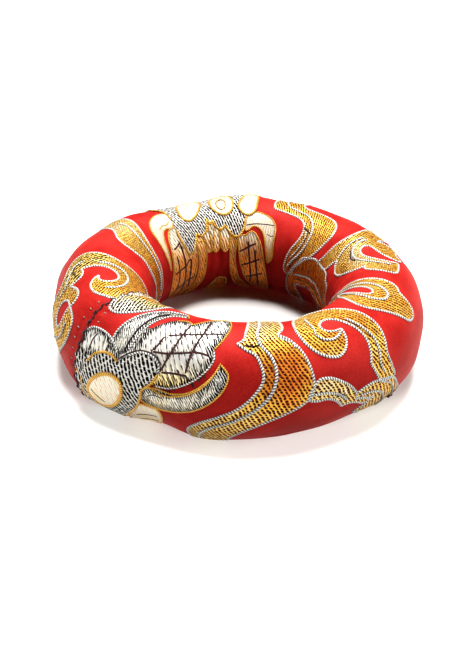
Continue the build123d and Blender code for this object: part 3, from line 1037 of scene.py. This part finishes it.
def satin():
    """Red warp-faced satin: a very fine slanted twill, faint cloudy variation."""
    s = Shader("red_satin", 0.5, metallic=0.1)
    s.bsdf.inputs["Specular IOR Level"].default_value = 0.12
    twill = s.math("SINE", (s.x + s.y * 0.6) * (TURN / TWILL_PITCH))
    weave = s.math("SINE", s.y * (TURN / WEFT_PITCH)) * 0.5 + twill
    grain = s.noise(1.5, 3.0)
    shade = s.noise(0.10, 4.0) + grain * 0.55 + weave * 0.02
    colour = s.mix(s.ramp(shade, 0.50, 1.05), DEEP_RED, BRIGHT_RED)
    return s.finish(colour, weave, 0.010, s.ramp(grain, 0.3, 0.7, 0.46, 0.58))


def woven(name, colours, binder, pitch, dash, dash_size, metallic, roughness, hatch=None):
    """Rows of metallic thread, bound by dashes of a darker thread between the rows.

    `pitch` is from row to row and `dash` from dash to dash along a row; `dash_size` is half
    a dash's width and length, in parts of those. `hatch` is (pitch, strength at the
    outline, reach inwards) of fine dark lines that shade the weave near its outline."""
    s = Shader(name, roughness, metallic)
    s.bsdf.inputs["Specular IOR Level"].default_value = 0.2
    across = s.x + s.y * ROW_LEAN + (s.noise(0.3) - 0.5) * 1.3
    along = s.y - s.x * (ROW_LEAN * 0.6)
    rows = across / pitch
    in_row = s.from_middle(rows)
    stagger = s.math("FLOORED_MODULO", s.math("FLOOR", rows), 2.0) * 0.5
    in_dash = s.from_middle(along / dash + stagger)
    wide, long = dash_size
    uneven = s.ramp(s.noise(0.9), 0.35, 0.65, 0.75, 1.2)
    gap_mask = s.ramp(in_row * uneven, wide + 0.06, wide - 0.06)
    dash_mask = s.ramp(in_dash * uneven, long + 0.08, long - 0.08)
    dark = gap_mask * dash_mask
    if hatch:
        fine, strength, reach = hatch
        in_line = s.from_middle((across + s.noise(0.5) * 0.9) / fine)
        patchy = s.ramp(s.noise(0.35, 3.0, 2.2), 0.35, 0.65, 0.45, 1.25)
        fade = s.ramp(s.edge / patchy, reach, 0.0, 0.0, strength)
        dark = s.math("MAXIMUM", dark, s.ramp(in_line, fade, fade * 0.55))
    strand = s.noise(2.4, 2.0, 2.5)
    tone = (strand - 0.5) * 0.35 + (s.noise(0.22, 3.0) - 0.5) * 0.55
    # painted shade: the weave darkens towards the binder's colour in the groove between rows
    groove_shade = s.ramp(in_row, 0.16, 0.02, 0.0, 0.28)
    body = s.mix(groove_shade, s.stops(s.tint + tone, colours), binder)
    height = s.ramp(in_row, 0.0, 0.42) - dark * 0.6 + strand * 0.25
    return s.finish(s.mix(dark, body, binder), height, 0.12, dark * 0.35 + roughness)


def corded(name, light, dark, pitch, tick_half, metallic, roughness):
    """A cord bound with ticks across it; its UV holds length and place across."""
    s = Shader(name, roughness, metallic, 0.1)
    in_turn = s.from_middle(s.x / pitch + s.y * 0.28)
    tick = s.ramp(in_turn, tick_half + 0.08, tick_half - 0.08)
    rim = s.ramp(s.math("ABSOLUTE", s.y), 0.70, 0.95)
    shaded = s.math("MAXIMUM", tick * 0.95, rim * 0.6)
    tone = s.ramp(s.noise(0.4), 0.3, 0.7, 0.0, 0.16)
    colour = s.mix(shaded, s.mix(tone, light, dark), dark)
    return s.finish(colour, s.ramp(in_turn, 0.0, 0.4) - rim * 0.4, 0.12)


def thread(name, light, dark):
    """Twisted sewing thread."""
    s = Shader(name, 0.5, sheen=0.2)
    ply = s.math("SINE", (s.x + s.y) * (TURN / PLY_PITCH))
    return s.finish(s.mix(s.ramp(ply, -0.6, 0.8), dark, light), ply, 0.05)


def wadding():
    """Matted cotton, inside the cover."""
    s = Shader("cotton_wadding", 0.95, sheen=0.3)
    tufts = s.noise(0.9, 6.0)
    colour = s.mix(s.ramp(tufts, 0.3, 0.7), (0.55, 0.50, 0.42, 1), (0.86, 0.82, 0.74, 1))
    return s.finish(colour, tufts, 0.4)


# Each kind's maker, and what it is told
MATERIALS = {
    "gold": (woven, "gold_weft", GOLDS, OXBLOOD, 1.06, 1.0, (0.27, 0.36), 0.4, 0.45),
    "silver": (
        woven, "silver_weft", WHITES, BLACK, 0.62, 2.3, (0.14, 0.34), 0.45, 0.42,
        (0.62, 0.46, 3.2),
    ),
    "petal": (
        woven, "white_weft", WHITES, BLACK, 1.5, 3.1, (0.09, 0.25), 0.4, 0.45,
        (0.66, 0.52, 3.0),
    ),
    "cloud": (
        woven, "hatched_weft", GREYS, BLACK, 1.12, 1.45, (0.27, 0.40), 0.25, 0.55,
        (0.56, 0.42, 0.9),
    ),
    "far_cloud": (
        woven, "open_hatched_weft", GREYS, BLACK, 1.30, 1.75, (0.29, 0.42), 0.15, 0.6,
    ),
    # the petal weave again, with colours of painted shade and painted red bounce for the hole's
    # wall
    "hole_shaded_petal": (
        woven, "shaded_weft", PAINTED_SHADE_PETAL_TONES, OXBLOOD, 1.5, 3.1, (0.08, 0.24), 0.4, 0.45,
        (0.8, 0.22, 2.0),
    ),
    "boss": (
        woven, "boss_weft", CREAMS, TAWNY, 0.8, 4.0, (0.06, 0.2), 0.4, 0.45,
        (0.7, 0.25, 1.2),
    ),
    "white_cord": (corded, "white_outline", CORD_WHITE, BLACK, 0.9, 0.19, 0.1, 0.5),
    "gold_cord": (corded, "gold_outline", CORD_GOLD, CORD_BROWN, 0.7, 0.12, 0.45, 0.40),
    "dark_line": (corded, "dark_binding", PLUM_BLACK, BROWN_BLACK, 0.7, 0.14, 0.0, 0.6),
    "lattice": (corded, "lattice_binding", MAROON, BROWN_BLACK, 0.8, 0.2, 0.0, 0.6),
}


# ---------------------------------------------------------------- pieces

COVER_STEPS = (0.9, 0.8)  # coarsest steps of the cover's grid, along the ring and round it
CORE_STEP = 3.0
CORE_DEPTH = 2.4  # from the cover's face down to the wadding
TABLE_GAP = 0.02  # threads stay this far above the table

WHIPS = 3  # whip stitches in each pitch of the gathers
JOIN_RADIUS = 0.22
FINE_RADIUS = 0.2
KNOT_SIZE = 0.42
SEAM_PITCH = 3.3
SEAM_HALF_STITCH = 1.0


def graded(length, coarse, places):
    """Places along a closed length, closer together near each (centre, reach, step)."""
    out, at = [], 0.0
    while at < length - coarse * 0.5:
        out.append(at)
        step = coarse
        for centre, reach, fine in places:
            gap = abs(wrapped(at - centre, length)) - reach
            step = min(step, fine if gap < 0 else max(fine, gap + fine))
        at += step
    return np.array(out)


def ring_piece(name, xs, ys, lift, material):
    """A closed ring with points at these places along the strip and round the tube."""
    x, y = np.meshgrid(xs, ys, indexing="ij")
    points = on_cushion(x.ravel(), y.ravel(), lift)
    # the strip's two ends and edges meet, so the last corners lie past the last points
    ends = np.meshgrid(np.append(xs, STRIP), np.append(ys, ys[0] + GIRTH), indexing="ij")
    flat = np.stack(ends, -1)
    corners = np.stack([flat[:-1, :-1], flat[1:, :-1], flat[1:, 1:], flat[:-1, 1:]], 2)
    return add_piece(name, points, ring_faces(len(xs), len(ys)), material, flat=corners)


def settle(piece, slot, *nodes):
    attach(piece, "root")
    if nodes:
        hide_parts(*nodes)


columns = graded(STRIP, COVER_STEPS[0], [(JOIN_X, 1.2, 0.14), (JOIN_X, 6.0, 0.4)])
rows = graded(GIRTH, COVER_STEPS[1], [(SEAM_Y % GIRTH, 2.4, 0.3)])
cover = ring_piece("satin_cover", columns, rows, 0.0, satin())
settle(cover, "brocade", "brocade_cover")

core_grid = (np.arange(0, length, CORE_STEP) for length in (STRIP, GIRTH))
core = ring_piece("cotton_roll", *core_grid, -CORE_DEPTH, wadding())
settle(core, "wadding", "wadding_roll")

for kind, flat_mesh in sheets.items():
    maker, *recipe = MATERIALS[kind]
    settle(flat_mesh.build(kind + "_weave", maker(*recipe)), "brocade")


def tube_along(points, radius, sides=8):
    """Points, faces and UV of a round thread along a path, with rounded ends."""
    path = np.asarray(points, float)
    run = unit(np.gradient(path, axis=0))
    verts, uv = [], []
    length = np.concatenate([[0], np.cumsum(np.linalg.norm(np.diff(path, axis=0), axis=1))])
    for k, centre in enumerate(path):
        a = np.cross(run[k], (0.0, 0.0, 1.0))
        if np.linalg.norm(a) < 1e-3:
            a = np.cross(run[k], (1.0, 0.0, 0.0))
        a = unit(a)
        b = np.cross(run[k], a)
        end = min(length[k], length[-1] - length[k])
        r = radius * math.sqrt(max(0.12, 1 - (1 - min(1, end / radius)) ** 2))
        for c in range(sides):
            w = TURN * c / sides
            verts.append(centre + r * (a * math.cos(w) + b * math.sin(w)))
            uv.append((length[k], radius * w))
    faces = [
        ((k + 1) * sides + c, (k + 1) * sides + (c + 1) % sides, k * sides + (c + 1) % sides,
         k * sides + c)
        for k in range(len(path) - 1) for c in range(sides)
    ]
    last_ring = (len(path) - 1) * sides
    faces.append(tuple(range(sides)))
    faces.append(tuple(last_ring + c for c in range(sides))[::-1])
    return np.array(verts), faces, np.array(uv)


class Threads:
    """Many short threads in one mesh."""

    def __init__(self):
        self.points, self.faces, self.uv, self.count = [], [], [], 0

    def lay(self, flat, radius):
        """A thread through (x, y, lift) places on the cushion."""
        self.run(on_cushion(*np.array(flat, float).T), radius)

    def run(self, points, radius):
        verts, faces, uv = tube_along(points, radius)
        self.points.append(verts)
        self.faces += [tuple(k + self.count for k in f) for f in faces]
        self.uv.append(uv)
        self.count += len(verts)

    def build(self, name, material):
        points = np.concatenate(self.points)
        points[:, 2] = np.maximum(points[:, 2], TABLE_GAP)
        corners = [k for face in self.faces for k in face]
        uv = np.concatenate(self.uv)[corners]
        return add_piece(name, points, self.faces, material, flat=uv)


def bow(x0, y0, x1, y1, rise, steps=7, sunk=-0.5):
    """A stitch from one needle hole to the other, arched over the cloth."""
    s = np.linspace(0, 1, steps)
    lift = sunk + (rise - sunk) * np.sin(math.pi * s) ** 0.45
    return np.stack([x0 + (x1 - x0) * s, y0 + (y1 - y0) * s, lift], 1)


dark_thread = thread("dark_thread", (0.10, 0.035, 0.04, 1), (0.02, 0.008, 0.012, 1))
pale_thread = thread("pale_thread", (0.75, 0.66, 0.58, 1), (0.3, 0.2, 0.18, 1))
red_thread = thread("red_thread", (0.42, 0.05, 0.05, 1), (0.16, 0.015, 0.015, 1))

# the join: slanted whip stitches over the hem's edge and a thread that runs along it
join = Threads()
first = math.ceil(JOIN_LOW_Y / STITCH_PITCH)
last = math.floor(JOIN_HIGH_Y / STITCH_PITCH)
for k in range(first * WHIPS, last * WHIPS):
    y = (k + rng.uniform(-0.15, 0.15)) * STITCH_PITCH / WHIPS
    edge = JOIN_X + join_wander(y)
    jag = rng.uniform(-0.16, 0.16, 3)
    whip = bow(edge - 0.75 + jag[0], y + 0.45, edge + 1.0 + jag[1], y - 0.6 + jag[2], 0.5)
    join.lay(whip, JOIN_RADIUS)
edge_y = np.arange(first * STITCH_PITCH, last * STITCH_PITCH, 0.35)
edge_x = JOIN_X + join_wander(edge_y) + 0.15 * np.sin(2.9 * edge_y) + 0.2
join.lay(np.stack([edge_x, edge_y, np.full_like(edge_y, 0.10)], 1), JOIN_RADIUS)
settle(join.build("join_thread", dark_thread), "dark_thread", "join_stitches")

# short tacks that show beside it, in turn on its two sides
tacks = Threads()
for k in range(first, last + 1):
    y = k * STITCH_PITCH
    nudge = JOIN_X + rng.uniform(-0.2, 0.2, 4)
    for start, end, y0, y1 in (
        (nudge[0] - 3.3, nudge[1] - 2.5, y + 0.2, y - 0.1),
        (nudge[2] + 1.9, nudge[3] + 3.0, y + STITCH_PITCH / 2, y + STITCH_PITCH / 2 + 0.2),
    ):
        tacks.lay(bow(start, y0, end, y1, 0.12, 5, -0.2), FINE_RADIUS)
settle(tacks.build("join_tacks", pale_thread), "dark_thread")

seam = Threads()
for x in np.arange(JOIN_X + 8, JOIN_X + STRIP - 5, SEAM_PITCH):
    stitch = bow(x, SEAM_Y - SEAM_HALF_STITCH, x + 0.5, SEAM_Y + SEAM_HALF_STITCH, 0.12)
    seam.lay(stitch, FINE_RADIUS)
settle(seam.build("long_seam_thread", red_thread), "red_thread", "long_seam_stitches")


def knot(x, y, size):
    """An overhand knot on the cloth, with a cut tail."""
    here = on_cushion([x, x + 0.5, x], [y, y, y + 0.5], 0.0)
    a, b = unit(here[1] - here[0]), unit(here[2] - here[0])
    up = np.cross(a, b)
    w = np.linspace(0, TURN, 40)
    loops = size * np.stack([
        np.sin(w) + 1.4 * np.sin(2 * w), np.cos(w) - 1.4 * np.cos(2 * w), -0.8 * np.sin(3 * w),
    ], 1)
    threads = Threads()
    centre = here[0] + up * (size * 1.3 + 0.1)
    threads.run(centre + loops @ np.stack([a, b, up]), size * 0.62)
    tail = [(x + 0.3 * s, y + 0.5 * s, 0.45 - 0.03 * s) for s in np.linspace(0, 5, 9)]
    threads.lay(tail, size * 0.5)
    return threads


for name, x, y, node in (
    ("join_thread_knot", JOIN_X - 0.8, -54 / 360 * GIRTH, "join_knot"),
    ("seam_thread_knot", 326 / 360 * STRIP, -46 / 360 * GIRTH, "seam_knot"),
):
    settle(knot(x, y, KNOT_SIZE).build(name, dark_thread), "dark_thread", node)


# ---------------------------------------------------------------- floor, light and camera
# Places and sizes of lamps are in metres.

TABLE_RADIUS = 1.0
CARD_RADIUS, CARD_DEPTH = 0.036, 0.002
AIM = (0, 0, 0.01)
NEUTRAL, WARM, TABLE_WHITE = (1.0, 0.99, 0.97), (1.0, 0.98, 0.95), (1.0, 0.99, 0.98)
# (name, place, size, power, colour)
LAMPS = [
    ("overhead", (0, 0.05, 1.0), 0.5, 4.2, NEUTRAL),
    ("behind", (0, 0.36, 0.93), 0.5, 9.5, NEUTRAL),
    ("right", (0.76, -0.2, 0.38), 0.4, 3.2, WARM),
    ("left", (-0.85, 0, 0.25), 0.4, 1.15, WARM),
    ("front_left", (-0.65, -0.7, 0.12), 0.3, 1.6, NEUTRAL),
]
TABLE_LAMPS = [
    ("table_left", (-0.6, -0.8, 0.29), 0.3, 12.5, TABLE_WHITE),
    ("table_right", (0.6, -0.8, 0.29), 0.3, 12.5, TABLE_WHITE),
]
WASH_STRENGTH, WASH_ANGLE = 1.7, 12
# how bright the room is by a direction's height: dim from above, soft from below
ROOM = {"From Min": 0.25, "To Min": 0.03, "From Max": -0.6, "To Max": 0.25}
BACKDROP = 1.0

ELEVATION, ROLL = math.radians(29.7), math.radians(2.24)
DISTANCE = 285.5
AIM_LEFT, AIM_DOWN = 2.4, 8.0
FOCAL_LENGTH = 800 / 645  # in heights of the picture
SENSOR_HEIGHT = 24.0


def disc(name, material_name, radius, height, sides, colour, roughness):
    """A flat disc that belongs to the studio, not to the cushion."""
    bpy.ops.mesh.primitive_circle_add(
        vertices=sides, radius=radius, fill_type="NGON", location=(0, 0, height)
    )
    plate = bpy.context.object
    plate.name = name
    material = bpy.data.materials.new(material_name)
    material.use_nodes = True
    bsdf = material.node_tree.nodes["Principled BSDF"]
    bsdf.inputs["Base Color"].default_value = colour
    bsdf.inputs["Roughness"].default_value = roughness
    plate.data.materials.append(material)
    return plate


def place_lamp(name, data, place=(0, 0, 0)):
    lamp = bpy.data.objects.new(name, data)
    lamp.location = place
    bpy.context.scene.collection.objects.link(lamp)
    return lamp


def area_light(name, place, size, power, colour):
    data = bpy.data.lights.new(name, "AREA")
    data.shape = "DISK"
    data.size = size
    data.energy = power
    data.color = colour
    lamp = place_lamp(name, data, place)
    lamp.rotation_euler = (Vector(AIM) - Vector(place)).to_track_quat("-Z", "Y").to_euler()
    return lamp


def room():
    """A dim room above, the light a white table throws back up, and a pale backdrop."""
    world = bpy.data.worlds.new("studio")
    bpy.context.scene.world = world
    world.use_nodes = True
    nodes, link = world.node_tree.nodes, world.node_tree.links.new
    background = nodes["Background"]
    background.inputs["Color"].default_value = (*WARM, 1)
    direction = nodes.new("ShaderNodeTexCoord")
    split = nodes.new("ShaderNodeSeparateXYZ")
    upward = nodes.new("ShaderNodeMapRange")
    for socket, value in ROOM.items():
        upward.inputs[socket].default_value = value
    link(direction.outputs["Generated"], split.inputs[0])
    link(split.outputs[2], upward.inputs["Value"])
    # seen directly the room is the backdrop
    seen = nodes.new("ShaderNodeLightPath")
    strength = nodes.new("ShaderNodeMix")
    strength.inputs[3].default_value = BACKDROP
    link(seen.outputs["Is Camera Ray"], strength.inputs[0])
    link(upward.outputs[0], strength.inputs[2])
    link(strength.outputs[0], background.inputs["Strength"])


def lights(ground):
    for lamp in LAMPS:
        area_light(*lamp)
    # these only whiten the table round the cushion
    on_table = [area_light(*lamp) for lamp in TABLE_LAMPS]
    wash = bpy.data.lights.new("table_wash", "SUN")
    wash.energy = WASH_STRENGTH
    wash.angle = math.radians(WASH_ANGLE)
    on_table.append(place_lamp("table_wash", wash))
    table = bpy.data.collections.new("table")
    table.objects.link(ground)
    for lamp in on_table:
        lamp.light_linking.receiver_collection = table
    # the table is overexposed, as in the photograph; the room gives its soft bounce instead
    ground.visible_diffuse = False


def camera():
    """Camera at the photograph's viewing angle, a little above the cushion's front."""
    middle = Vector((0, 0, 18))
    back = Vector((0, -math.cos(ELEVATION), math.sin(ELEVATION)))
    right, up = Vector((1, 0, 0)), Vector((0, math.sin(ELEVATION), math.cos(ELEVATION)))
    place = middle + back * DISTANCE
    target = middle - right * AIM_LEFT - up * AIM_DOWN
    forward = (target - place).normalized()
    side = (right * math.cos(ROLL) + up * math.sin(ROLL)).normalized()
    top = side.cross(forward).normalized()
    side = forward.cross(top)
    turn = Matrix((side, top, -forward)).transposed()
    data = bpy.data.cameras.new("camera")
    data.sensor_fit = "VERTICAL"
    data.sensor_height = SENSOR_HEIGHT
    data.lens = FOCAL_LENGTH * SENSOR_HEIGHT
    data.clip_start = 0.01
    view = bpy.data.objects.new("camera", data)
    view.matrix_world = Matrix.Translation(place * MM) @ turn.to_4x4()
    scene = bpy.context.scene
    scene.collection.objects.link(view)
    scene.camera = view
    scene.view_settings.view_transform = "Standard"
    scene.view_settings.look = "High Contrast"


floor = disc("floor", "pale_floor", TABLE_RADIUS, 0, 96, (0.60, 0.592, 0.58, 1), 0.8)
# a black card under the table keeps the bounce out of the cushion's hole
disc(
    "card_under_hole", "black_card", CARD_RADIUS, -CARD_DEPTH, 64, (0.01, 0.01, 0.01, 1), 0.5
)
room()
lights(floor)
camera()
